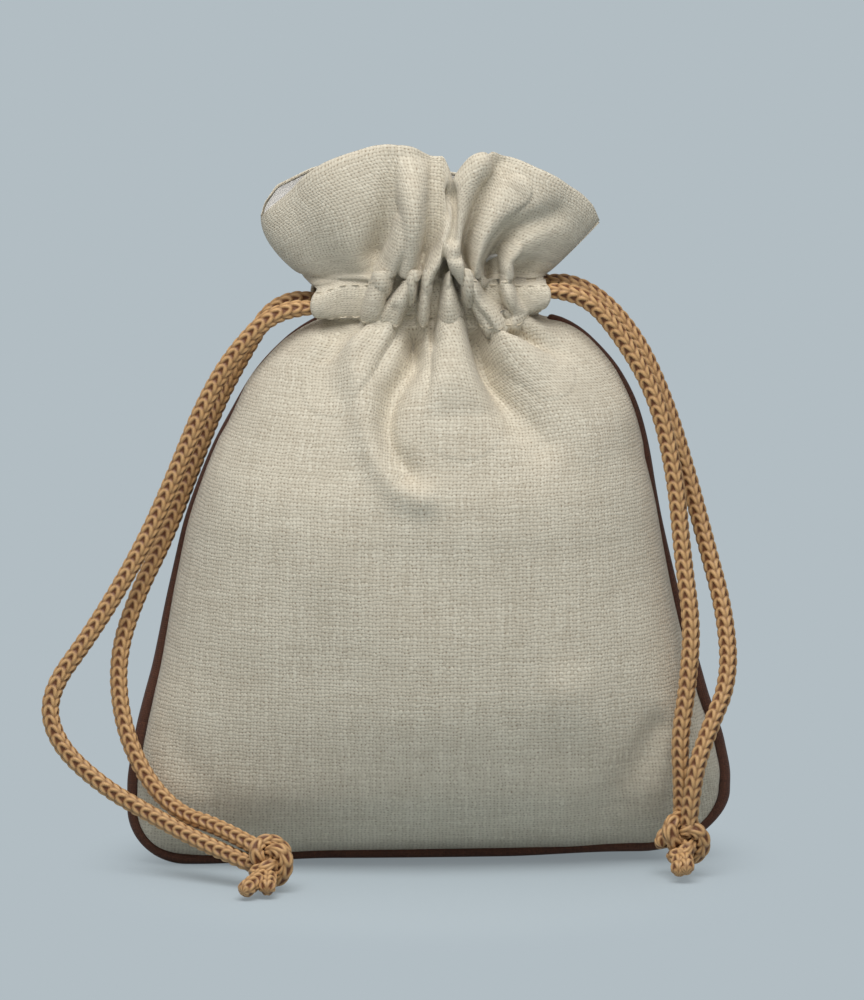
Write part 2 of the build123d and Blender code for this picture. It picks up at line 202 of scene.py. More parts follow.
def plain_weave():
    """Group: the height of a plain weave on the UV map. Threads one pitch apart cross over and under
    each other in turn, wander a little, and differ in thickness; slubs are thick stretches. The gaps
    are what neither thread's crown covers, some wider than others."""
    tree, given, out = group(
        "Plain weave",
        {"UV": (0, 0, 0), "Pitch": 0.8 * MM, "Wander": 0.2, "Slubs": 0.5},
        ["Height", "Gap", "Tone"],
    )

    def times(first, second):
        return calc(tree, "MULTIPLY", first, second)

    def plus(first, second):
        return calc(tree, "ADD", first, second)

    scaled = vector(tree, "SCALE", {0: given["UV"], "Scale": calc(tree, "DIVIDE", 1.0, given["Pitch"])})
    drift = vector(tree, "SUBTRACT", {0: noise(tree, scaled, 0.35, 3.0)["Color"], 1: (0.5, 0.5, 0.5)})
    moved = vector(tree, "SCALE", {0: drift, "Scale": times(given["Wander"], 4.0)})
    split = node(tree, "ShaderNodeSeparateXYZ", {0: vector(tree, "ADD", {0: scaled, 1: moved})}).outputs
    u, v = split[0], split[1]
    over = calc(tree, "PINGPONG", plus(calc(tree, "FLOOR", u), calc(tree, "FLOOR", v)), 1.0)

    def crown(place):
        """Half a sine over the width of each thread."""
        return calc(tree, "SINE", times(calc(tree, "FRACT", place), math.pi))

    def thread(across, along, slide):
        """Noise that is the same across a thread and changes slowly along it."""
        number = times(calc(tree, "FLOOR", across), THREAD_APART)
        spot = node(tree, "ShaderNodeCombineXYZ", {0: number, 1: times(along, THREAD_CHANGE), 2: slide})
        return noise(tree, spot.outputs[0], 1.0, 2.0)[0]

    def yarn(side, along, thick):
        """Height of one yarn: round across, raised where it passes over, and thicker in a slub."""
        width = calc(tree, "POWER", side, 0.55)
        lift = plus(times(along, 0.45), 0.5)
        return plus(times(width, lift), times(calc(tree, "SUBTRACT", thick, 0.5), given["Slubs"]))

    def upper(warp_value, weft_value):
        """The value of the thread that lies over the other one."""
        values = {0: over, 2: warp_value, 3: weft_value}
        return node(tree, "ShaderNodeMix", values, data_type="FLOAT").outputs[0]

    crown_u, crown_v = crown(u), crown(v)
    warp, weft = thread(u, v, 0.0), thread(v, u, WEFT_SLIDE)
    cell = node(tree, "ShaderNodeCombineXYZ", {0: calc(tree, "ROUND", u), 1: calc(tree, "ROUND", v)})
    chance = node(tree, "ShaderNodeTexWhiteNoise", {"Vector": cell.outputs[0]}).outputs["Value"]
    gap = calc(tree, "SUBTRACT", 1.0, calc(tree, "MAXIMUM", crown_u, crown_v))
    gap = times(gap, plus(times(chance, 0.6), 0.6))
    tree.links.new(upper(yarn(crown_u, crown_v, warp), yarn(crown_v, crown_u, weft)), out["Height"])
    tree.links.new(calc(tree, "POWER", gap, 1.5), out["Gap"])
    tree.links.new(upper(warp, weft), out["Tone"])
    return tree


def material(name, roughness, sheen=0.0):
    """A new material, its tree and its Principled shader."""
    made = bpy.data.materials.new(name)
    made.use_nodes = True
    shader = made.node_tree.nodes["Principled BSDF"]
    shader.inputs["Roughness"].default_value = roughness
    shader.inputs["Sheen Weight"].default_value = sheen
    return made, made.node_tree, shader


def bumped(tree, shader, height, strength, distance):
    """Puts a Bump node's normal on a shader."""
    bump = node(tree, "ShaderNodeBump", {"Height": height, "Strength": strength, "Distance": distance})
    tree.links.new(bump.outputs[0], shader.inputs["Normal"])


def woven(name, light, dark, painted_shade, pitch, strength, slubs=0.5, wander=0.2, gap=1.0):
    """Woven cloth: threads between a light and a dark tone, with their gaps darkened as painted shade."""
    made, tree, shader = material(name, 0.9, 0.15)
    uv = node(tree, "ShaderNodeUVMap", uv_map="UVMap").outputs[0]
    given = {"UV": uv, "Pitch": pitch, "Wander": wander, "Slubs": slubs}
    threads = node(tree, "ShaderNodeGroup", given, node_tree=WEAVE)
    tone = node(tree, "ShaderNodeMapRange", {0: threads.outputs["Tone"], 1: 0.3, 2: 0.7}).outputs[0]
    broad = noise(tree, uv, 90.0, 3.0)[0]
    tone = calc(tree, "ADD", calc(tree, "MULTIPLY", tone, 0.7), calc(tree, "MULTIPLY", broad, 0.3))
    colour = blend(tree, tone, (*dark, 1), (*light, 1))
    # Painted shade: the gaps between the threads are darkened towards the third colour, as shade falls in
    # them.
    colour = blend(tree, calc(tree, "MULTIPLY", threads.outputs["Gap"], gap), colour, (*painted_shade, 1))
    tree.links.new(colour, shader.inputs["Base Color"])
    bumped(tree, shader, threads.outputs["Height"], strength, 0.35 * pitch)
    return made


def knitted(name, light, dark, painted_shade):
    """Knitted cord: the "height" attribute darkens the grooves and holes as painted shade, and fine streaks
    are its fibres.
    """
    made, tree, shader = material(name, 0.55, 0.1)
    height = node(tree, "ShaderNodeAttribute", attribute_name="height").outputs["Fac"]
    uv = node(tree, "ShaderNodeUVMap", uv_map="UVMap").outputs[0]
    fibres = noise(tree, uv, 3500.0, 2.0)[0]
    patches = noise(tree, uv, 260.0, 2.0)[0]
    raised = node(tree, "ShaderNodeMapRange", {0: height, 1: 0.2, 2: 0.95}).outputs[0]
    streaks = calc(tree, "MULTIPLY", fibres, 0.45)
    tone = calc(tree, "ADD", streaks, calc(tree, "MULTIPLY", patches, 0.55))
    colour = blend(tree, tone, (*dark, 1), (*light, 1))
    # Painted shade: where the knitting lies low, in its grooves and holes, it is darkened, as shade falls
    # there.
    tree.links.new(blend(tree, raised, (*painted_shade, 1), colour), shader.inputs["Base Color"])
    bumped(tree, shader, fibres, 0.25, 0.08 * MM)
    return made


def plain(name, colour, roughness):
    """One even colour."""
    made, tree, shader = material(name, roughness)
    shader.inputs["Base Color"].default_value = (*colour, 1)
    return made


# ---- Cords ----

# Routes of the free strands, from beyond their first straight run down to the knot. The front
# strand leaves the front casing.
ROUTES = {
    "left_front_strand": [
        (-0.0420, -0.0050, 0.1090), (-0.0485, -0.0055, 0.0975), (-0.0550, -0.0065, 0.0810),
        (-0.0618, -0.0085, 0.0665), (-0.0715, -0.0110, 0.0505), (-0.0813, -0.0135, 0.0375),
        (-0.0795, -0.0165, 0.0275), (-0.0695, -0.0205, 0.0188), (-0.0585, -0.0245, 0.0132),
        (-0.0490, -0.0295, 0.0088), (-0.0382, -0.0362, 0.0054),
    ],
    "left_back_strand": [
        (-0.0392, 0.0046, 0.1084), (-0.0450, 0.0042, 0.0975), (-0.0506, 0.0028, 0.0830),
        (-0.0562, 0.0000, 0.0685), (-0.0620, -0.0035, 0.0575), (-0.0665, -0.0075, 0.0445),
        (-0.0655, -0.0120, 0.0310), (-0.0605, -0.0175, 0.0200), (-0.0530, -0.0230, 0.0132),
        (-0.0448, -0.0290, 0.0120), (-0.0374, -0.0350, 0.0090),
    ],
    "right_front_strand": [
        (0.0415, -0.0050, 0.1120), (0.0485, -0.0060, 0.0990), (0.0522, -0.0080, 0.0820),
        (0.0536, -0.0110, 0.0660), (0.0556, -0.0155, 0.0525), (0.0546, -0.0185, 0.0400),
        (0.0528, -0.0205, 0.0290), (0.0534, -0.0212, 0.0200), (0.0534, -0.0208, 0.0110),
    ],
    "right_back_strand": [
        (0.0432, 0.0044, 0.1123), (0.0498, 0.0032, 0.0980), (0.0546, 0.0008, 0.0825),
        (0.0586, -0.0036, 0.0680), (0.0626, -0.0100, 0.0540), (0.0636, -0.0155, 0.0410),
        (0.0588, -0.0210, 0.0305), (0.0556, -0.0250, 0.0215), (0.0548, -0.0244, 0.0103),
    ],
}

STITCH = 2.1 * MM  # length of one knitted stitch along the cord
WALES = 4  # columns of stitches round the cord
STITCH_RELIEF = 0.55 * MM
RING_SPACING = 0.15 * MM
SIDES = 44  # points in each ring of a drawstring
SWELLS = (2.5 * MM, 7.0 * MM)  # along a strand, from where it is pressed to where it is loose
END_POINTS = 12  # in the straight runs that lead a strand into its tab and its knot


def centreline(points):
    """Points along a smooth open spline with the given control points."""
    curve = bpy.data.curves.new("route", "CURVE")
    curve.dimensions = "3D"
    curve.resolution_u = 24
    spline = curve.splines.new("NURBS")
    spline.points.add(len(points) - 1)
    spline.points.foreach_set("co", [c for p in points for c in (*p, 1.0)])
    spline.order_u = 3
    spline.use_endpoint_u = True
    route = bpy.data.objects.new("route", curve)
    bpy.context.scene.collection.objects.link(route)
    bpy.context.view_layer.update()
    line = bpy.data.meshes.new_from_object(route)
    found = np.empty(len(line.vertices) * 3)
    line.vertices.foreach_get("co", found)
    bpy.data.objects.remove(route)
    bpy.data.meshes.remove(line)
    bpy.data.curves.remove(curve)
    return found.reshape(-1, 3)


def read_at(where, along, rows):
    """Rows of three numbers, known at some distances along a line, read at others."""
    return np.stack([np.interp(where, along, rows[:, k]) for k in range(3)], axis=1)


def evenly(points, spacing):
    """The same line with its points evenly spaced, about spacing apart."""
    along = lengths_along(points)
    count = max(8, int(along[-1] / spacing))
    return read_at(np.linspace(0, along[-1], count), along, points)


def carried_frames(line):
    """Two unit directions across a line at each point, carried along it without twist."""
    tangent = np.gradient(line, axis=0)
    tangent /= np.linalg.norm(tangent, axis=1, keepdims=True)
    side = np.empty_like(tangent)
    start = np.cross(tangent[0], (0.0, 0.0, 1.0) if abs(tangent[0][2]) < 0.9 else (1.0, 0.0, 0.0))
    side[0] = start / np.linalg.norm(start)
    for i in range(1, len(line)):
        turned = side[i - 1] - tangent[i] * (side[i - 1] @ tangent[i])
        side[i] = turned / np.linalg.norm(turned)
    return side, np.cross(tangent, side)


def turns(count):
    """So many angles, evenly round a circle."""
    return np.linspace(0, 2 * math.pi, count, endpoint=False)


def rings(line, first, second, reach):
    """A ring of points round each point of a line: cos of the angle along the first direction and
    sin of it along the second, both times reach, which has a row for each ring."""
    angles = turns(reach.shape[1])
    across = np.cos(angles)[None, :, None] * first[:, None]
    across = across + np.sin(angles)[None, :, None] * second[:, None]
    return line[:, None] + across * reach[..., None]


def tube_piece(name, line, radius, reach, height=None):
    """Tube along a line, as far out at each place as reach says. Near its ends that is cut down to
    close over half a ball. Its map runs round and along it."""
    along = lengths_along(line)
    inside = np.minimum(np.minimum(along, along[-1] - along) / radius, 1)
    reach = reach * np.sqrt(np.clip(1 - (1 - inside) ** 2, 0, 1))[:, None]
    grid = rings(line, *carried_frames(line), reach)
    count = reach.shape[1]
    uv = np.stack(np.broadcast_arrays(turns(count)[None, :] * radius, along[:, None]), axis=-1)
    faces = grid_faces(len(line), count, closed=True)
    return mesh_piece(name, grid.reshape(-1, 3), faces, uv.reshape(-1, 2), height)


def stitch_height(along, angle):
    """Height of the knitting, 0 to 1. Each wale is a chain of V-shaped stitches: yarn of round
    section that runs out and up from the wale's middle line, with a small hole in each V."""
    turn = angle * WALES / (2 * math.pi)
    off_middle = np.abs(2 * (turn - np.floor(turn)) - 1)  # 1 at the wale's edge, 0 in its middle
    phase = along / STITCH - 0.75 * off_middle
    share = 2 * (phase - np.floor(phase)) - 1
    yarn = 0.3 + 0.7 * np.sqrt(np.maximum(0.0, 1 - np.abs(share) ** 2.2))
    edge = np.exp(-(((1 - off_middle) / 0.15) ** 2))
    crotch = np.exp(-((off_middle / 0.36) ** 2)) * np.exp(-(((1 - np.abs(share)) / 0.75) ** 2))
    return np.clip(yarn * (1 - 0.45 * edge) - 1.1 * crotch, 0, 1)


def knitted_tube(name, line, radius=SHOWN_RADIUS, turn=0.0, pressed=False):
    """Tube along a line whose surface is the knitting, pushed in between its stitches. pressed
    makes its start thinner, as the casing's mouth holds it."""
    line = evenly(line, RING_SPACING)
    along = lengths_along(line)[:, None]
    height = stitch_height(along, turns(SIDES) + turn)
    shown = PRESSED_RADIUS + (radius - PRESSED_RADIUS) * ramp(along, *SWELLS) if pressed else radius
    return tube_piece(name, line, radius, shown - STITCH_RELIEF * (1 - height), height)


def plain_tube(name, line, spacing, radius, sides):
    """Round tube along a line."""
    line = evenly(line, spacing)
    return tube_piece(name, line, radius, np.full((len(line), sides), radius))


# Each knot: its middle, its ring's radius and axis, its turn about that axis, and the ends of its
# two tails.
KNOTS = {
    "left": {
        "middle": (-0.0340, -0.0384, 0.0064),
        "ring": 2.9 * MM,
        "axis": (-0.25, -0.80, 0.55),
        "turn": 0.5,
        "tails": [(-0.0396, -0.0500, 0.0021), (-0.0345, -0.0486, 0.0020)],
    },
    "right": {
        "middle": (0.0534, -0.0240, 0.0080),
        "ring": 3.1 * MM,
        "axis": (0.1, -0.95, 0.3),
        "turn": 0.55,
        "tails": [(0.0526, -0.0318, 0.0021), (0.0543, -0.0322, 0.0026)],
    },
}
KNOT_WINDING = 0.43  # the cord winds this share of the ring's radius to each side of it
KNOT_RISE = 0.66  # and this share above and below it
KNOT_CORD_RADIUS = 1.85 * MM
KNOT_GAP = 0.1  # of a turn's angle, left open where the cord's two ends meet
HEART_REACH = 1.6 * MM  # of the squeezed cord in a knot's middle, to each side
HEART_RADIUS = 2.2 * MM
TAIL_START = (0.0, -0.001, -0.002)  # from the knot's middle
TAIL_RISE = (0.0, 0.0, 0.0004)  # of a tail's middle


def strand_piece(word, face):
    """A free strand, the line it follows and where it leaves the casing. The line is its route's
    smooth curve, and short straight runs lead from that into the tab and into the knot."""
    y = -CORD_Y if face == "front" else CORD_Y
    tab, start, bend = [(HAND[word] * x, y, CORD_Z[word]) for x in (JOIN_X, EXIT_X, EXIT_X + FIRST_RUN)]
    line = centreline([start, bend, *ROUTES[f"{word}_{face}_strand"]])
    into_tab = np.linspace(tab, start, END_POINTS)[:-1]
    into_knot = np.linspace(line[-1], KNOTS[word]["middle"], END_POINTS)[1 : END_POINTS // 2]
    shown = np.concatenate([into_tab, line, into_knot])
    return knitted_tube(f"{word}_{face}_drawstring", shown, turn=0.4, pressed=True), line, start


def loop_line(word):
    """The run of a drawstring inside the casings: in along the front, half a circle round the far
    bend, and back."""
    hand, z = HAND[word], CORD_Z[word]
    angle = np.linspace(-math.pi / 2, math.pi / 2, 60)
    x = -hand * (BEND_X + CORD_Y * np.cos(angle))
    far = np.stack([x, CORD_Y * np.sin(angle), np.full_like(angle, z)], axis=1)
    return np.concatenate([[[hand * JOIN_X, -CORD_Y, z]], far, [[hand * JOIN_X, CORD_Y, z]]])


def knot_line(middle, ring, axis, turn):
    """Centreline of the cord in an overhand knot drawn tight: it goes twice round a ring while it
    winds three times about it."""
    t = np.linspace(KNOT_GAP, 2 * math.pi - KNOT_GAP, 500)
    across = axis.cross(Vector((0, 0, 1))).normalized()
    basis = np.array([across, axis.cross(across), axis])
    reach = ring * (1 + KNOT_WINDING * np.cos(3 * t))
    rise = ring * KNOT_RISE * np.sin(3 * t)
    local = np.stack([reach * np.cos(2 * t + turn), reach * np.sin(2 * t + turn), rise], axis=1)
    return local @ basis + middle


def knot_piece(name, middle, ring, axis, turn, tails):
    """A tight overhand knot with the squeezed cord in its middle and two cut tails, as one mesh."""
    middle, axis = np.array(middle), Vector(axis).normalized()
    parts = [knitted_tube(name, knot_line(middle, ring, axis, turn), KNOT_CORD_RADIUS)]
    heart = middle + np.outer(np.linspace(-HEART_REACH, HEART_REACH, 30), axis)
    parts.append(knitted_tube(name, heart, HEART_RADIUS))
    for tail in tails:
        start = middle + TAIL_START
        half = (start + tail) / 2 + TAIL_RISE
        parts.append(knitted_tube(name, centreline([start, half, tail])))
    with bpy.context.temp_override(active_object=parts[0], selected_editable_objects=parts):
        bpy.ops.object.join()
    return parts[0]


# ---- Outer cloths ----

# The stuffed body from its bottom corners' tops up: height, half width at the left seam and at the
# right one, the seam's y, and how far the front and the back stand out from it. Millimetres.
BODY = np.array(
    [
        (12.0, 62.4, 61.8, -9.2, 13.2, 36.5),
        (16.4, 62.4, 61.9, -8.5, 16.6, 36.4),
        (25.0, 61.2, 60.8, -6.4, 21.2, 35.7),
        (35.4, 59.0, 57.5, -4.4, 25.0, 34.2),
        (42.0, 57.4, 55.7, -3.0, 26.8, 33.1),
        (55.2, 54.7, 51.9, -1.2, 28.7, 31.3),
        (65.2, 52.5, 49.5, -0.3, 29.0, 29.6),
        (72.0, 51.0, 48.1, 0.0, 28.9, 28.6),
        (79.6, 48.7, 46.8, 0.0, 27.9, 27.0),
        (88.5, 45.6, 45.4, 0.0, 24.6, 24.4),
        (96.4, 42.2, 43.5, 0.0, 21.2, 20.8),
        (104.3, 37.6, 40.0, 0.0, 16.6, 16.4),
        (110.9, 31.6, 34.8, 0.0, 11.8, 11.8),
        (113.5, 28.2, 31.8, 0.0, 9.6, 9.6),
        (115.4, 25.0, 28.2, 0.0, 8.0, 8.0),
        (116.65, 22.8, 23.2, 0.0, 7.2, 7.2),
    ]
)
CORNER_CENTRE_X = 51.74
CORNER_CENTRE_Z = 12.0
CORNER_EDGE = 10.2  # radius of the cloth's edge at a bottom corner
SEAM_FRONT_Y = -10.5  # of the seam along the bottom edge
BOTTOM_EDGE = CORNER_CENTRE_Z - CORNER_EDGE
BASE_Z = 0.35  # of the back cloth where it lies on the floor
CLOSER_Z = 72.0  # above this the rows lie closer together, for the folds
COLUMNS = 276
BUNCHING = 1.35  # how much closer the columns lie towards the seams, as an angle
BODY_FULLNESS = 2.3  # of its section: 2 is an ellipse, and more is squarer
CASING_FULLNESS = 6.0
FRILL_FULLNESS = 2.4
# Below the first height in BODY, how far each cloth stands out from its seam: height and reach.
FRONT_FOOT = np.array([(BOTTOM_EDGE, 0.9), (2.75, 2.6), (4.5, 5.6), (8.0, 9.6)])
BACK_FOOT = np.array([(BOTTOM_EDGE, 33.4), (4.5, 35.2), (8.0, 36.1)])

# The casing and the frill, with one value for the left and one for the right where it has two.
# Millimetres.
CASING_WIDTH = (23.2, 22.9)  # half width of the casing at its foot
CASING_SPREAD = (0.4, 1.3)  # how much wider it is at its top
CASING_BULGE = 2.0  # and between the two
FOOT_SLOPE = (0.3, -1.7)  # how far its foot runs down towards its end
TOP_SLOPE = (1.9, 0.3)  # and its top
CASING_OUT = 6.7  # how far its faces stand out
CLOSED_OUT = 1.4  # and its sewn edges
HEM_START = 0.955  # the share of a casing's half width where its tab's hem starts to turn in
TAB_HEM = 0.7
FRILL_FOOT = (25.0, 24.2)  # half width of the frill at its foot
FRILL_HALF_WIDTH = 35.9
FRILL_DEPTH = 7.6
FRILL_SWELL = 3.0  # how much deeper it is between its foot and its edge


def body_rows(side):
    """Height, left and right half widths, seam y and outward reach from the seam of each row of the
    body, from its bottom edge to the neck. Round the bottom corners the width grows as a quarter
    circle does. The back cloth starts along the floor, as the base."""
    turn = np.linspace(0, math.pi / 2, 22)[:-1]
    corner_z = CORNER_CENTRE_Z - CORNER_EDGE * np.cos(turn)
    low_z = np.linspace(BODY[0, 0], CLOSER_Z, 70)[:-1]
    z = np.concatenate([corner_z, low_z, np.linspace(CLOSER_Z, BODY[-1, 0], 116)])
    halves = []
    for half in (BODY[:, 1], BODY[:, 2]):
        corner = CORNER_CENTRE_X + (half[0] - CORNER_CENTRE_X) * np.sin(turn)
        halves.append(np.concatenate([corner, through(z[len(turn) :], BODY[:, 0], half)]))
    seam = through(z, np.append(BOTTOM_EDGE, BODY[:, 0]), np.append(SEAM_FRONT_Y, BODY[:, 3]))
    foot, above = (FRONT_FOOT, BODY[:, 4]) if side < 0 else (BACK_FOOT, BODY[:, 5])
    reach = through(z, np.append(foot[:, 0], BODY[:, 0]), np.append(foot[:, 1], above))
    wall = np.stack([z, *halves, seam, reach], axis=1)
    if side < 0:
        return wall
    share = np.linspace(0, 1, 30)[:-1]
    base = np.empty((len(share), 5))
    base[:, 0] = BASE_Z + (BOTTOM_EDGE - BASE_Z) * (1 - np.sin(share * math.pi)) ** 3
    base[:, 1:4] = CORNER_CENTRE_X, CORNER_CENTRE_X, SEAM_FRONT_Y
    base[:, 4] = foot[0, 1] * share
    return np.concatenate([base, wall])


# Top edge of each frill as seen from in front: x and height square to the line of sight, in mm.
FRONT_EDGE = [
    (-35.9, 134.9), (-35.0, 136.2), (-30.1, 139.9), (-26.1, 142.9), (-21.2, 145.6), (-16.3, 148.0),
    (-12.3, 149.7), (-8.9, 150.2), (-4.0, 149.7), (-0.2, 148.7), (3.8, 148.1), (4.7, 146.4),
    (5.2, 141.6), (5.9, 138.8), (7.3, 141.4), (9.0, 145.6), (10.6, 147.8), (13.0, 148.9),
    (17.0, 148.0), (21.9, 145.0), (26.8, 142.7), (31.6, 140.1), (34.6, 137.4), (35.9, 134.4),
]
BACK_EDGE = [
    (-35.9, 135.4), (-35.2, 138.2), (-32.6, 142.0), (-25.4, 145.6), (-19.0, 147.4), (-10.0, 147.0),
    (0.0, 145.6), (6.0, 144.6), (12.0, 145.0), (20.0, 143.4), (28.0, 139.4), (33.0, 136.8),
    (35.9, 134.0),
]


def section(share, fullness):
    """How far out a section stands at a share of its half width: 1 in the middle, 0 at the seam."""
    return np.clip(1 - np.abs(share) ** fullness, 0, 1) ** (1 / fullness)


def settled(points):
    """The body as it stands: its bottom edge hangs a little off the floor but for its left corner,
    and its right corner lies further back. Millimetres."""
    x, y, z = points[..., 0], points[..., 1], points[..., 2]
    front = 1 - ramp(y, 2.0, 18.0)
    middle = 1.3 * ramp(x, -50.0, -20.0) + 0.7 * ramp(x, 15.0, 40.0)
    lift = middle * (1 - ramp(z, 3.0, 25.0)) * front
    lift += 2.7 * ramp(x, 45.0, 61.0) * (1 - ramp(z, 4.0, 26.0)) * front
    back = 4.0 * ramp(x, -20.0, 60.0) * (1 - ramp(z, 12.0, 45.0)) * front
    return np.stack([x, y + back, z + lift], axis=-1)


def by_hand(share, values):
    """The first value on the left of the middle, and the second on the right."""
    return np.where(share < 0, *values)


def casing_edges(share):
    """Height of the casing's foot and of its top, which slope towards its ends."""
    slope = ramp(np.abs(share), 0.7, 1.0)
    foot = NECK_BOTTOM / MM - by_hand(share, FOOT_SLOPE) * slope
    return foot, NECK_TOP / MM - by_hand(share, TOP_SLOPE) * slope


def casing_row(side, share, step):
    """A row of the casing, a step from 0 to 1 up it. It bulges as half a sine. Its end stands open as
    the mouth of a tab, but for its foot and top, and turns in there over a hem of round section."""
    end = np.abs(share)
    turned = math.pi * np.clip((end - HEM_START) / (1 - HEM_START), 0, 1)
    bulge = math.sin(math.pi * step) ** 0.6
    width = by_hand(share, CASING_WIDTH) + CASING_BULGE * bulge + by_hand(share, CASING_SPREAD) * step
    open_end = ramp(step, 0.0, 0.2) * (1 - ramp(step, 0.84, 1.0))
    face = CASING_OUT + 1.1 * bulge + 1.3 * bulge * ramp(end, 0.7, 0.92)
    closed = CLOSED_OUT + (face - CLOSED_OUT) * section(share, CASING_FULLNESS)
    opened = face - TAB_HEM * (1 - np.cos(turned))
    out = closed + (opened - closed) * open_end * ramp(end, 0.6, 0.9)
    hem = TAB_HEM * np.sin(turned) + (width - TAB_HEM - end * width) * (turned > 0)
    x = np.minimum(end * width + open_end * hem, width)
    foot, top = casing_edges(share)
    return np.stack([np.sign(share) * x, side * out, foot + (top - foot) * step], axis=1)


def frill_rows(side, share):
    """Rows of the frill, straight up from the casing's top to an edge that is laid out as it is seen.
    Its width opens out faster on the left than on the right, and its depth swells as half a sine."""
    edge = np.array(FRONT_EDGE if side < 0 else BACK_EDGE)
    seen = np.interp(FRILL_HALF_WIDTH * share, edge[:, 0], edge[:, 1])
    seen = np.convolve(np.pad(seen, 3, "edge"), np.ones(7) / 7, "valid")
    round_share = section(share, FRILL_FULLNESS)
    top = (seen - side * FRILL_DEPTH * round_share * math.sin(SIGHT)) / math.cos(SIGHT)
    foot = casing_edges(share)[1]
    start = by_hand(share, FRILL_FOOT)
    rows = []
    for step in np.linspace(0, 1, 90):
        width = start + (FRILL_HALF_WIDTH - start) * by_hand(share, (1 - (1 - step) ** 1.9, step**0.92))
        swell = FRILL_SWELL * math.sin(math.pi * step) ** 0.8
        depth = CASING_OUT + (FRILL_DEPTH - CASING_OUT) * step + swell
        out = round_share * depth + CLOSED_OUT * (1 - ramp(step, 0.0, 0.08))
        rows.append(np.stack([share * width, side * out, foot + (top - foot) * step], axis=1))
    return rows


def cloth_grid(side):
    """The surface of one outer cloth before its folds, in metres, with the number of its row where
    the casing starts. Its rows are the body's, each a section out from the seam, then the casing's
    and the frill's."""
    share = np.sin(np.linspace(-1, 1, COLUMNS) * BUNCHING) / math.sin(BUNCHING)
    body = []
    for z, left, right, seam, reach in body_rows(side):
        x = share * by_hand(share, (left, right))
        y = seam + side * section(share, BODY_FULLNESS) * reach
        body.append(np.stack([x, y, np.full_like(x, z)], axis=1))
    casing = [casing_row(side, share, step) for step in np.linspace(0, 1, 30)[1:-1]]
    rows = [*settled(np.array(body)), *casing, *frill_rows(side, share)]
    return np.array(rows) * MM, len(body)


FOLD_DEPTH = 1.65  # what the heights below are multiplied by

# Rolls of gathered cloth at the front. Each point has its x and its height square to the line of
# sight, how far the roll stands out there, and its half width. Millimetres.
ROLLS = [
    [(-5.2, 134, 2.0, 2.5), (-6.6, 129.5, 2.6, 2.4), (-8.6, 125.3, 2.8, 2.3), (-11, 119.7, 2.6, 2.4),
     (-12.3, 115, 2.0, 2.4), (-12.3, 112.2, 0.6, 2.4)],
    [(-2.9, 123.7, 3.4, 1.4), (-4.4, 120.6, 3.4, 1.7), (-7.2, 116.5, 3.0, 2.2), (-9.4, 112.2, 2.4, 2.8),
     (-12.5, 108.1, 1.6, 3.4), (-16.6, 102.5, 0.8, 4.5), (-21.2, 98.8, 0.0, 6.0)],
    [(4.2, 134, 0.8, 1.6), (2.6, 128.7, 2.4, 1.5), (0.3, 125.5, 3.4, 1.5), (-0.7, 122.5, 3.6, 1.5),
     (-1.3, 117.5, 3.4, 1.5), (-1.8, 112.5, 2.4, 1.6), (-1.9, 109.7, 0.4, 1.8)],
    [(3.7, 122.7, 3.2, 1.0), (4.0, 117.5, 3.6, 2.3), (4.6, 111.2, 3.2, 3.7), (5.2, 105, 2.4, 4.9),
     (6.2, 98.8, 1.4, 6.5), (6.8, 92.6, 0.0, 9.0)],
    [(10.1, 145.7, 1.6, 3.4), (8.0, 142.1, 2.0, 2.8), (6.0, 135.4, 2.6, 2.0), (4.6, 128.7, 3.0, 1.5),
     (5.2, 126.8, 3.4, 1.5), (6.4, 123.7, 3.7, 1.5), (8.7, 120.9, 3.7, 1.6), (10.8, 117.8, 3.4, 1.7),
     (13.3, 115.6, 3.0, 1.8), (15.5, 114, 2.4, 1.9), (19.3, 113, 1.7, 2.2), (23.9, 110.6, 0.8, 2.6),
     (27.6, 108.1, 0.0, 3.0)],
    [(7.7, 119.7, 1.8, 1.2), (9.9, 116.5, 2.4, 1.4), (11.8, 113.7, 2.6, 1.8), (12.7, 111.2, 2.4, 2.2),
     (14.6, 108.1, 1.8, 3.0), (19.3, 104.4, 1.0, 4.0), (25.5, 101.3, 0.0, 5.0)],
    [(17.8, 128.7, 0.8, 1.6), (16.0, 126.7, 1.8, 1.5), (16.2, 123.6, 2.4, 1.5), (16.1, 121.2, 2.6, 1.6),
     (17.1, 117.5, 2.2, 1.8), (18.9, 114.4, 0.8, 2.0)],
    [(17.8, 140.6, 0.6, 3.5), (13.7, 135.9, 1.6, 2.6), (10.6, 130.8, 2.4, 1.8), (9.3, 125.6, 2.8, 1.4),
     (11.1, 122.0, 1.4, 1.3)],
    [(-3.6, 148.0, 0.2, 3.6), (-3.7, 145.0, 1.0, 3.6), (-3.8, 140, 2.2, 3.4), (-3.7, 134.4, 2.8, 2.8),
     (-4.1, 128.7, 2.6, 2.4), (-4.8, 124.6, 2.6, 2.3)],
]

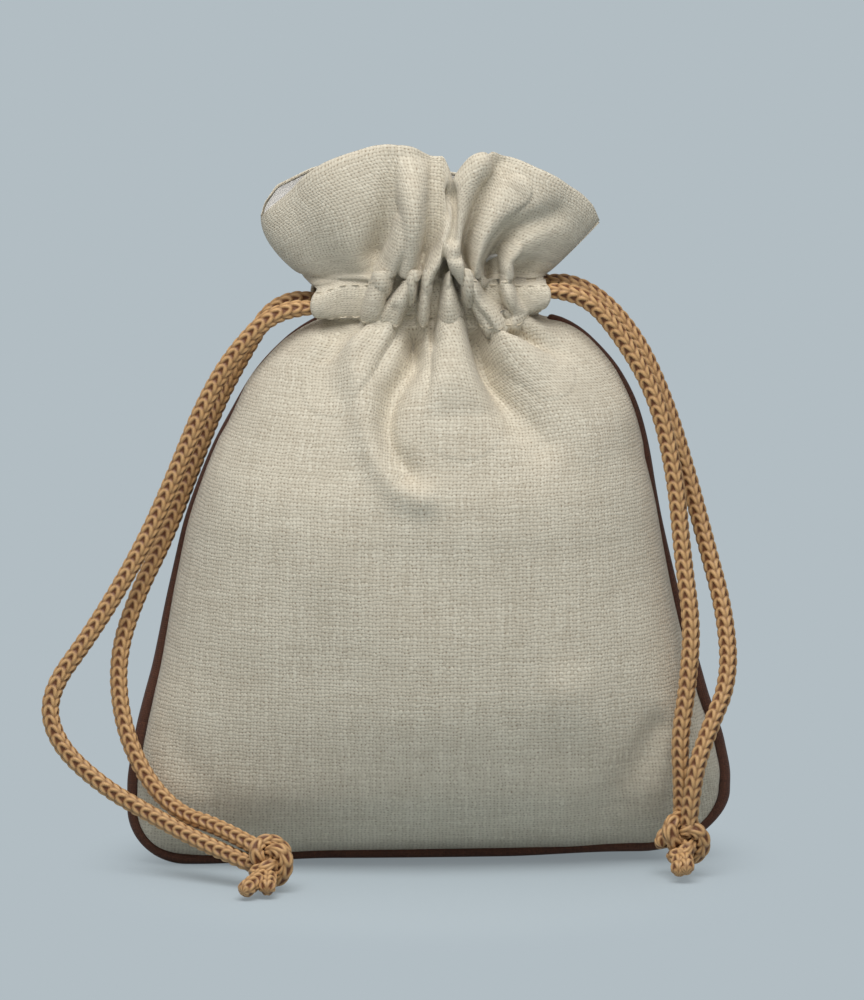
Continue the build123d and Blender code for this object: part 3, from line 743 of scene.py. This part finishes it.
# Soft swells, or hollows where they are negative: a line of (x, height square to the line of
# sight), how far it stands out and its half width, both at its start and at its end. Millimetres.
SOFT = [
    ([(-22, 146), (-19, 134), (-16, 127)], (1.6, 0.5), (8.0, 4.0)),
    ([(0.5, 148), (1.2, 140), (0.6, 133), (-1.4, 127)], (-1.4, -1.2), (3.2, 1.2)),
    ([(-7.6, 147.0), (-8.2, 140.0), (-9.0, 134.5), (-11.0, 127.0)], (-0.3, -2.1), (2.2, 2.9)),
    ([(15.7, 147.2), (11.1, 140.5), (9.0, 134.4), (7.8, 128.7), (7.2, 124.6)], (-1.2, -2.0), (2.4, 0.9)),
    ([(26.5, 135.9), (18.8, 132.8), (15.7, 129.7), (13.2, 125.6), (12.1, 123.1)], (-1.0, -2.4), (2.6, 1.0)),
    ([(20.9, 124.6), (17.3, 121.5)], (-0.9, -0.9), (2.0, 1.6)),
    ([(24, 143), (22, 134), (19, 128)], (1.0, 0.6), (6.0, 3.0)),
    ([(5.6, 140), (5.6, 136), (4.9, 131)], (-2.4, -1.4), (1.5, 0.9)),
    ([(11.8, 118.7), (14, 116.9), (16.1, 114.7)], (-1.4, -1.4), (1.3, 1.2)),
    ([(14.9, 110.8), (17.1, 110), (19.3, 109.7), (27.6, 106.3)], (-1.8, -0.4), (1.1, 1.8)),
    ([(8.7, 110.6), (10.2, 106.3), (12.7, 101), (15.5, 96.3), (19.3, 91.9)], (-1.6, -0.4), (1.5, 4.0)),
    ([(-4.1, 108.1), (-3.8, 105)], (-1.4, -0.4), (1.5, 2.5)),
    ([(-7.8, 116.5), (-10.3, 111.2), (-15, 103.5)], (-0.8, -0.3), (1.0, 2.0)),
    ([(-2.8, 111.0), (-3.8, 105.3), (-8.1, 98.5), (-9.5, 91.6), (-8.4, 86.0), (-5.0, 81.0)],
     (-2.5, -1.0), (1.9, 2.6)),
    ([(-15.6, 107.2), (-14.4, 98.5), (-13.1, 91.0), (-11.0, 84.1), (-6.9, 78.2), (-1.9, 75.6)],
     (1.3, 1.1), (3.6, 3.4)),
    ([(11.9, 109.7), (12.4, 103.5), (16.6, 94.7), (22.8, 87.2)], (-2.3, -0.8), (1.9, 4.0)),
    ([(14.4, 112.2), (24.3, 101.0), (34.3, 88.5)], (1.4, 0.5), (2.8, 6.0)),
    ([(2.0, 98.0), (3.0, 90.0), (2.0, 82.0)], (0.9, 0.2), (6.0, 9.0)),
    ([(-24, 108), (-30, 101), (-37, 92)], (0.8, 0.2), (3.5, 6.0)),
    ([(-18, 110), (-26, 100), (-32, 88)], (-0.7, -0.2), (2.4, 5.0)),
    ([(-57, 27), (-52, 18), (-46, 12)], (-1.0, -0.3), (3.2, 4.0)),
    ([(49, 27), (43, 17), (37, 10)], (-1.1, -0.3), (3.0, 4.0)),
    ([(30, 34), (34, 22), (30, 8)], (0.7, 0.4), (6.0, 7.0)),
    ([(-20, 60), (-8, 48), (-4, 30)], (0.5, 0.4), (9.0, 12.0)),
]

# Sharp creases where two rolls meet: a line, and how deep and how wide. Millimetres.
CREASES = [
    ([(-2.2, 122.1), (-2.6, 117.5), (-2.9, 113.7), (-3.8, 109.7)], (-1.2, -1.2), (0.7, 0.9)),
    ([(3.4, 125.3), (2.4, 120.6), (1.8, 118.1), (1.2, 115), (0.9, 112.5), (0.6, 110), (1.2, 107.5)],
     (-1.2, -1.0), (0.7, 0.8)),
    ([(4.9, 122.8), (6.2, 119.7), (7.1, 116.5), (8.4, 112.5)], (-1.2, -1.0), (0.6, 0.7)),
    ([(5.7, 139.0), (4.7, 133.0), (3.6, 124.0)], (-0.8, -1.5), (0.8, 0.6)),
    ([(8.9, 111.9), (10.9, 104.1), (14.8, 99.0), (20.6, 93.2), (25.1, 87.5)], (-1.5, -0.3), (1.5, 2.6)),
    ([(-2.5, 103.5), (-5.8, 99.0), (-8.4, 93.8), (-8.7, 89.4), (-7.4, 84.9), (-2.5, 79.0)],
     (-1.0, -0.4), (1.4, 2.2)),
]


def nearest_on(x, seen, line):
    """Distance from each point to a line of (x, height) in metres, and the share of the way along
    it at which the nearest point lies."""
    along = lengths_along(line)
    away = np.full(x.shape, np.inf)
    share = np.zeros_like(x)
    for i in range(len(line) - 1):
        a, step = line[i], line[i + 1] - line[i]
        t = np.clip(((x - a[0]) * step[0] + (seen - a[1]) * step[1]) / (step @ step), 0, 1)
        here = np.hypot(x - a[0] - t * step[0], seen - a[1] - t * step[1])
        share = np.where(here < away, (along[i] + t * (along[i + 1] - along[i])) / along[-1], share)
        away = np.minimum(away, here)
    return away, share


ROLLS_BLEND = 0.22 * MM  # rolls whose heights are this close run into one another


def rolled(x, seen, rolls, between_rolls):
    """How far rolls stand out: each is half round across, and where two meet the higher one shows,
    with a little blending."""
    total = np.exp(between_rolls / ROLLS_BLEND)
    for roll in rolls:
        line = smooth_line(roll, 6 * len(roll)) * MM
        away, share = nearest_on(x, seen, line[:, :2])
        at = lengths_along(line[:, :2])
        height = np.interp(share, at / at[-1], line[:, 2])
        width = np.interp(share, at / at[-1], line[:, 3])
        out = FOLD_DEPTH * height * np.sqrt(np.clip(1 - (away / width) ** 2, 0, 1)) + between_rolls
        total += np.where(away < width, np.exp(out / ROLLS_BLEND), 0.0)
    return ROLLS_BLEND * np.log(total)


def soft_folds(x, seen, folds, power=2.0):
    """How far soft swells and hollows push each point out. A lower power makes them sharper."""
    pushed = np.zeros_like(x)
    for line, heights, widths in folds:
        away, share = nearest_on(x, seen, smooth_line(line, 5 * len(line)) * MM)
        height = (heights[0] + (heights[1] - heights[0]) * share) * MM
        width = (widths[0] + (widths[1] - widths[0]) * share) * MM
        pushed += FOLD_DEPTH * height * np.exp(-((away / width) ** power))
    return pushed


def lowest_near(values, rows, columns):
    """The lowest value within so many rows and columns of each place."""
    for axis, reach in ((0, rows), (1, columns)):
        found = values
        for step in range(1, reach + 1):
            for way in (-step, step):
                moved = np.roll(values, way, axis=axis)
                edge = [slice(None), slice(None)]
                edge[axis] = slice(0, step) if way > 0 else slice(-step, None)
                moved[tuple(edge)] = values[tuple(edge)]
                found = np.minimum(found, moved)
        values = found
    return values


def back_rolls():
    """Rolls of the gathered back, laid out at random round the neck."""
    rolls = []
    for x in np.linspace(-18, 18, 11):
        x += random.uniform(-0.8, 0.8)
        high = random.uniform(2.0, 3.2)
        top, low = random.uniform(134, 146), random.uniform(92, 106)
        spread = random.uniform(1.2, 1.5)
        rolls.append(
            [
                (x * spread, top, 0.0, 3.4),
                (x * 1.1, 130.0, high, 1.9),
                (x, 122.0, high, 1.5),
                (x * 1.05, 116.0, high, 1.7),
                (x * spread, low, 0.0, 3.8),
            ]
        )
    return rolls


BETWEEN_ROLLS = -0.2 * MM  # height of the cloth between two rolls at the neck
CASING_FLOOR = -0.4 * MM  # no fold in the casing is deeper than this
CLOTH_FLOOR = -6 * MM  # nor one in the body or the frill than this
PUCKER_HEIGHT = 0.28 * MM
PUCKER_LENGTH = 5.2 * MM
WAVE_HEIGHT = 0.5 * MM  # of the body's low waves over what is inside
GROOVE_DEPTH = 0.55 * MM  # along each row of stitches
GROOVE_WIDTH = 0.45 * MM
LINING_DEPTH = 1.3 * MM  # of the lining behind the outer cloth
FRILL_LINING_DEPTH = 0.45 * MM
HEM_RADIUS = {-1: 0.55 * MM, 1: 0.22 * MM}  # of the front's and the back's
STITCHED_ROWS = (2, 25)  # counted from the casing's foot


def pushed_out(grid, side, share):
    """How far each point of an outer cloth is pushed along its normal. The rolls and folds drawn up
    at the neck come first, held back in the casing and towards the seams. Then come sine puckers
    along the seams, sine waves over what is inside, and a groove along each row of stitches."""
    x, z = grid[..., 0], grid[..., 2]
    neck = np.exp(-(((z - NECK_Z) / (6 * MM)) ** 4)) * (1 - ramp(np.abs(x), 12 * MM, 18 * MM))
    between_rolls = BETWEEN_ROLLS * neck
    if side < 0:
        seen = z * math.cos(SIGHT) + grid[..., 1] * math.sin(SIGHT)
        pushed = rolled(x, seen, ROLLS, between_rolls)
        pushed += soft_folds(x, seen, SOFT) + soft_folds(x, seen, CREASES, 1.2)
    else:
        pushed = rolled(-x, z, back_rolls(), between_rolls)
    in_casing = ramp(z, 114 * MM, 116 * MM) * (1 - ramp(z, 125 * MM, 127 * MM))
    pushed = np.maximum(pushed, CASING_FLOOR * in_casing + CLOTH_FLOOR * (1 - in_casing))
    pushed *= 1 - ramp(share, 0.74, 0.97)
    along = lengths_along(grid[:, COLUMNS // 2])[:, None]
    pucker = np.sin(along / PUCKER_LENGTH + 2.0 * np.sin(along / (17 * MM)) + np.sign(x))
    low = 1 - ramp(z, 100 * MM, 112 * MM)
    pushed += PUCKER_HEIGHT * pucker * ramp(share, 0.8, 0.97) * (1 - ramp(share, 0.985, 1.0)) * low
    pushed += WAVE_HEIGHT * np.sin(x / (17 * MM) + 1.1) * np.sin(z / (13 * MM) + 0.6 * side) * low
    for line_z in (NECK_BOTTOM, NECK_TOP):
        groove = np.exp(-np.abs(z - line_z) / GROOVE_WIDTH)
        pushed -= GROOVE_DEPTH * groove * ramp(np.abs(x), 11 * MM, 17 * MM)
    return pushed


def hem_rows(grid, normal, roll):
    """Rows that roll a cloth's top edge over inwards by half a circle, and run on a little way down
    inside. roll is the circle's radius."""
    up = grid[-1] - grid[-3]
    up /= np.linalg.norm(up, axis=1, keepdims=True)
    rows = []
    for angle in np.linspace(0, math.pi, 9)[1:]:
        rows.append(grid[-1] - normal * roll * (1 - math.cos(angle)) + up * roll * math.sin(angle))
    for down in (0.6, 1.3):
        rows.append(grid[-1] - normal * 2 * roll - up * down * roll)
    return rows


def row_lengths(grid):
    """Distance along each row of a grid from its first column."""
    steps = np.linalg.norm(np.diff(grid, axis=1), axis=2)
    return np.concatenate([np.zeros((len(grid), 1)), np.cumsum(steps, axis=1)], axis=1)


def cloth_piece(name, side, grid, u, v):
    """A cloth from its grid and the two distances of its map, with its flat width and length, and
    its flat area: it tapers from its widest row to its top edge, whose folds take up a tenth."""
    uv = np.stack(np.broadcast_arrays(u, v[:, None]), axis=-1)
    faces = grid_faces(*grid.shape[:2], flip=side > 0)
    piece = mesh_piece(name, grid.reshape(-1, 3), faces, uv.reshape(-1, 2))
    widths = np.ptp(u, axis=1)
    flat = (float(widths.max()), float(v[-1]))
    return piece, flat, flat[1] * (flat[0] + 1.1 * float(widths[-20])) / 2


def outer_cloth(name, side):
    """One outer cloth, pushed out into its folds, with its top edge rolled over as a hem. Also the
    surface that its lining follows, and its two rows of stitches as points and normals."""
    grid, first_casing_row = cloth_grid(side)
    normal = normals_of(grid) * -side
    x, z = grid[..., 0], grid[..., 2]
    share = np.abs(x) / np.maximum(np.abs(x).max(axis=1, keepdims=True), 1e-9)
    pushed = pushed_out(grid, side, share)
    depth = LINING_DEPTH + (FRILL_LINING_DEPTH - LINING_DEPTH) * ramp(z, 127 * MM, 132 * MM)
    inside = grid + normal * (lowest_near(pushed, 4, 7) - depth)[..., None]
    grid = grid + normal * pushed[..., None]
    grid[..., 2] = np.maximum(grid[..., 2], 0.25 * MM)
    roll = HEM_RADIUS[side] * (1 - 0.8 * ramp(share[-1], 0.9, 1.0))[:, None]
    grid = np.concatenate([grid, hem_rows(grid, normal[-1], roll)])

    middle = COLUMNS // 2
    u = row_lengths(grid)
    u -= u[:, middle : middle + 1]
    climb = np.linalg.norm(np.diff(grid[:, middle - 50 : middle + 50], axis=0), axis=2).mean(axis=1)
    v = np.concatenate([[0.0], np.cumsum(climb)])
    sewn = [(grid[first_casing_row + row], normal[first_casing_row + row]) for row in STITCHED_ROWS]
    return cloth_piece(name, side, grid, u, v), inside, sewn


def lining_cloth(name, side, inside):
    """White lining just inside its outer cloth. It narrows at the neck, where the drawstrings run
    between the two, and ends a little under the frill's hem."""
    grid = inside[:-1:2, ::3].copy()
    neck = np.exp(-(((grid[..., 2] - NECK_Z) / (9 * MM)) ** 4))
    grid[..., 0] *= 1 - 0.58 * neck
    y = np.abs(grid[..., 1])
    drawn = side * (y * (1 - neck) + neck * np.minimum(y, PASSAGE_HALF_DEPTH))
    grid[..., 1] = np.where(neck > 0.05, drawn, grid[..., 1])
    grid[..., 2] = np.maximum(grid[..., 2], 0.9 * MM)
    return cloth_piece(name, side, grid, row_lengths(grid), lengths_along(grid[:, grid.shape[1] // 2]))


# ---- Piping and stitches ----

# How much of the piping shows beyond the cloth's edge, at some heights on the left and the right.
# It turns in behind the front cloth at the shoulders. Millimetres.
PIPING_SHOWN = np.array(
    [
        (12.0, 1.95, 1.95),
        (28.0, 1.95, 1.8),
        (42.0, 1.55, 1.6),
        (66.0, 1.45, 1.4),
        (76.0, 1.2, 1.2),
        (88.0, 0.6, 1.05),
        (97.0, -0.2, 0.85),
        (108.0, -0.4, 0.3),
        (116.0, -0.4, -0.2),
    ]
)
PIPING_BOTTOM = PIPING_RADIUS / MM


def piping_line():
    """Centreline of the piping, from the left end of the neck down round the base to the right. Each
    side runs outside the cloth's edge, and round its bottom corner as a quarter circle."""
    z = np.linspace(116.0, CORNER_CENTRE_Z, 120)
    turn = np.linspace(math.pi / 2, 0, 30)[1:]
    corner_z = CORNER_CENTRE_Z - (CORNER_CENTRE_Z - PIPING_BOTTOM) * np.cos(turn)
    seam_z, seam_y = np.append(PIPING_BOTTOM, BODY[[0, 2], 0]), np.append(SEAM_FRONT_Y, BODY[[0, 2], 3])
    corner_y = through(corner_z, seam_z, seam_y)
    halves = []
    for column in (1, 2):
        shown = through(z, PIPING_SHOWN[:, 0], PIPING_SHOWN[:, column])
        half = through(z, BODY[:, 0], BODY[:, column]) + shown - PIPING_BOTTOM
        side = np.stack([half, through(z, BODY[:, 0], BODY[:, 3]), z], axis=1)
        corner_x = CORNER_CENTRE_X + (half[-1] - CORNER_CENTRE_X) * np.sin(turn)
        halves.append(np.concatenate([side, np.stack([corner_x, corner_y, corner_z], axis=1)]))
    x = np.linspace(-CORNER_CENTRE_X, CORNER_CENTRE_X, 60)[1:-1]
    base = np.stack([x, np.full_like(x, SEAM_FRONT_Y), np.full_like(x, PIPING_BOTTOM)], axis=1)
    return settled(np.concatenate([halves[0] * (-1, 1, 1), base, halves[1][::-1]])) * MM


THREAD_RADIUS = 0.15 * MM
THREAD_SIDES = 6
STITCH_LENGTH = 2.0 * MM
STITCH_STEP = 2.7 * MM  # from one stitch to the next
STITCH_RINGS = 7
SEAM_ENDS = (2 * MM, 4 * MM)  # left without stitches at a row's start and end


def stitches(name, lines):
    """Sewing thread along lines on cloth, each with the cloth's normals. Every stitch is a thin
    tube that rises out of the cloth and dips back into it as half a sine."""
    share = np.linspace(0, 1, STITCH_RINGS)
    rise = THREAD_RADIUS * (2.2 * np.sin(math.pi * share) - 0.8)
    radius = THREAD_RADIUS * np.sqrt(np.clip(1 - (2 * share - 1) ** 6, 0, 1))
    reach = np.repeat(radius[:, None], THREAD_SIDES, axis=1)
    points = []
    for line, normal in lines:
        along = lengths_along(line)
        run = (line[-1] - line[0]) / np.linalg.norm(line[-1] - line[0])
        for start in np.arange(SEAM_ENDS[0], along[-1] - SEAM_ENDS[1], STITCH_STEP):
            at = start + share * STITCH_LENGTH
            out = read_at(at, along, normal)
            middle = read_at(at, along, line) + out * rise[:, None]
            points.append(rings(middle, out, np.cross(out, run), reach).reshape(-1, 3))
    one = grid_faces(STITCH_RINGS, THREAD_SIDES, closed=True)
    faces = [one + i * STITCH_RINGS * THREAD_SIDES for i in range(len(points))]
    return mesh_piece(name, np.concatenate(points), np.concatenate(faces))


# ---- Materials ----

# The third colour of each finish is painted shade: it darkens the gaps between threads, and the
# drawstring's grooves.
WEAVE = plain_weave()
LINEN = woven(
    "linen",
    light=(0.76, 0.7, 0.565),
    dark=(0.53, 0.465, 0.355),
    painted_shade=(0.27, 0.2, 0.13),
    pitch=0.78 * MM,
    strength=0.45,
    slubs=1.0,
    wander=0.4,
    gap=1.05,
)
LINING = woven(
    "lining",
    light=(0.9, 0.885, 0.855),
    dark=(0.82, 0.8, 0.77),
    painted_shade=(0.55, 0.53, 0.5),
    pitch=0.35 * MM,
    strength=0.4,
    slubs=0.2,
    wander=0.1,
    gap=0.5,
)
PIPING = woven(
    "piping",
    light=(0.13, 0.046, 0.023),
    dark=(0.062, 0.022, 0.012),
    painted_shade=(0.018, 0.009, 0.005),
    pitch=0.45 * MM,
    strength=0.5,
    slubs=0.3,
    wander=0.1,
)
CORD = knitted(
    "drawstring",
    light=(0.84, 0.54, 0.25),
    dark=(0.4, 0.195, 0.062),
    painted_shade=(0.13, 0.04, 0.007),
)
THREAD = plain("sewing thread", (0.62, 0.55, 0.42), 0.7)

# ---- Build ----


def dress(piece, finish, body, nodes=()):
    """Gives a piece its material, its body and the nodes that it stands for."""
    piece.data.materials.append(finish)
    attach(piece, body)
    if nodes:
        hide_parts(*nodes)


for word in ("left", "right"):
    cord = f"{word}_cord"
    loop = knitted_tube(f"{word}_drawstring_in_casing", loop_line(word), PRESSED_RADIUS)
    dress(loop, CORD, cord, [f"{word}_cord_loop"])
    knot = knot_piece(f"{word}_drawstring_knot", **KNOTS[word])
    dress(knot, CORD, cord, [f"{word}_knot"])
    for face in ("front", "back"):
        strand = f"{word}_{face}_strand"
        piece, line, start = strand_piece(word, face)
        dress(piece, CORD, cord, [strand])

seams = []
for side, word in ((-1, "front"), (1, "back")):
    (cloth, flat, area), inside, sewn = outer_cloth(f"{word}_cloth", side)
    dress(cloth, LINEN, "pouch", [f"{word}_panel", f"{word}_casing", f"{word}_frill"])
    seams += sewn
    lining, flat, area = lining_cloth(f"{word}_lining_cloth", side, inside)
    dress(lining, LINING, "pouch", [f"{word}_lining"])

dress(stitches("casing_stitches", seams), THREAD, "pouch")
cover = plain_tube("piping", piping_line(), 0.4 * MM, PIPING_RADIUS, 20)
dress(cover, PIPING, "pouch", ["piping_cover"])
core = plain_tube("piping_core", piping_line(), 0.8 * MM, PIPING_CORE_RADIUS, 12)
dress(core, LINING, "pouch", ["piping_filler"])

# ---- Floor, light and camera ----

FLOOR_COLOUR = (0.445, 0.509, 0.546)
FLOOR_REACH = 40.0
SHADOW_MIDDLE = (0.0, -0.02, 0.0)  # the shadow that the camera sees on the floor is centred here
SHADOW_NEAR, SHADOW_FAR = 0.048, 0.08  # distances from there between which it fades
SHADOW_SHARE = 0.4  # of even colour in it
WORLD_STRENGTH = 0.21
OVERHEAD_STRENGTH = 0.46
LAMP_PLACE = Vector((-0.02, -0.26, 0.56))
LAMP_AIM = Vector((0.0, 0.0, 0.09))
LAMP_WIDTH = 0.5
LAMP_DEPTH = 0.35
LAMP_POWER = 2.75
CAMERA_AIM = Vector((0.0004, 0.0, 0.0767))
CAMERA_DISTANCE = 6.0
PICTURE_HEIGHT = 0.2123  # what the picture's height takes in at the pouch
SENSOR = 36.0


def backdrop():
    """A wide matt floor, pale blue-grey. Seen by the camera it turns from lit paper near the pouch,
    which keeps the shadow, to its even colour further off: the share of even colour rises smoothly
    with the distance from the pouch."""
    corners = FLOOR_REACH * np.array([(-1, -1, 0), (1, -1, 0), (1, 1, 0), (-1, 1, 0)])
    floor = mesh_piece("floor", corners, np.array([[0, 1, 2, 3]]))
    made, tree, shader = material("floor paper", 1.0)
    shader.inputs["Base Color"].default_value = (*FLOOR_COLOUR, 1)
    shader.inputs["Specular IOR Level"].default_value = 0.0
    even = node(tree, "ShaderNodeEmission", {"Color": (*FLOOR_COLOUR, 1), "Strength": 1.0}).outputs[0]
    ends = {0: node(tree, "ShaderNodeTexCoord").outputs["Object"], 1: SHADOW_MIDDLE}
    away = node(tree, "ShaderNodeVectorMath", ends, operation="DISTANCE").outputs["Value"]
    fade = {0: away, 1: SHADOW_NEAR, 2: SHADOW_FAR, 3: SHADOW_SHARE, 4: 1.0}
    evenness = node(tree, "ShaderNodeMapRange", fade, interpolation_type="SMOOTHSTEP").outputs[0]
    seen = node(tree, "ShaderNodeLightPath").outputs["Is Camera Ray"]
    mix = {0: calc(tree, "MULTIPLY", seen, evenness), 1: shader.outputs[0], 2: even}
    mixed = node(tree, "ShaderNodeMixShader", mix).outputs[0]
    tree.links.new(mixed, tree.nodes["Material Output"].inputs["Surface"])
    floor.data.materials.append(made)


def lights():
    """A wide soft lamp above and a little before the pouch, and weaker light from all round, which
    grows with the square of the height above the horizon."""
    world = bpy.data.worlds.new("studio")
    world.use_nodes = True
    bpy.context.scene.world = world
    tree = world.node_tree
    place = node(tree, "ShaderNodeTexCoord").outputs["Generated"]
    height = calc(tree, "MAXIMUM", node(tree, "ShaderNodeSeparateXYZ", {0: place}).outputs[2], 0.0)
    overhead = calc(tree, "MULTIPLY", calc(tree, "POWER", height, 2.0), OVERHEAD_STRENGTH)
    background = tree.nodes["Background"]
    background.inputs["Color"].default_value = (1.0, 1.0, 1.0, 1)
    tree.links.new(calc(tree, "ADD", overhead, WORLD_STRENGTH), background.inputs["Strength"])
    lamp = bpy.data.lights.new("soft box", "AREA")
    lamp.shape = "RECTANGLE"
    lamp.size = LAMP_WIDTH
    lamp.size_y = LAMP_DEPTH
    lamp.energy = LAMP_POWER
    lit = bpy.data.objects.new("soft box", lamp)
    lit.location = LAMP_PLACE
    lit.rotation_euler = (LAMP_PLACE - LAMP_AIM).to_track_quat("Z", "Y").to_euler()
    bpy.context.scene.collection.objects.link(lit)


def camera():
    """A long lens in front, looking a little down along the line of sight."""
    away = Vector((0.0, -math.cos(SIGHT), math.sin(SIGHT)))
    data = bpy.data.cameras.new("camera")
    data.lens = SENSOR * CAMERA_DISTANCE / PICTURE_HEIGHT
    data.sensor_width = SENSOR
    made = bpy.data.objects.new("camera", data)
    made.location = CAMERA_AIM + CAMERA_DISTANCE * away
    made.rotation_euler = (-away).to_track_quat("-Z", "Y").to_euler()
    bpy.context.scene.collection.objects.link(made)
    bpy.context.scene.camera = made


backdrop()
lights()
camera()
bpy.context.scene.view_settings.view_transform = "Standard"
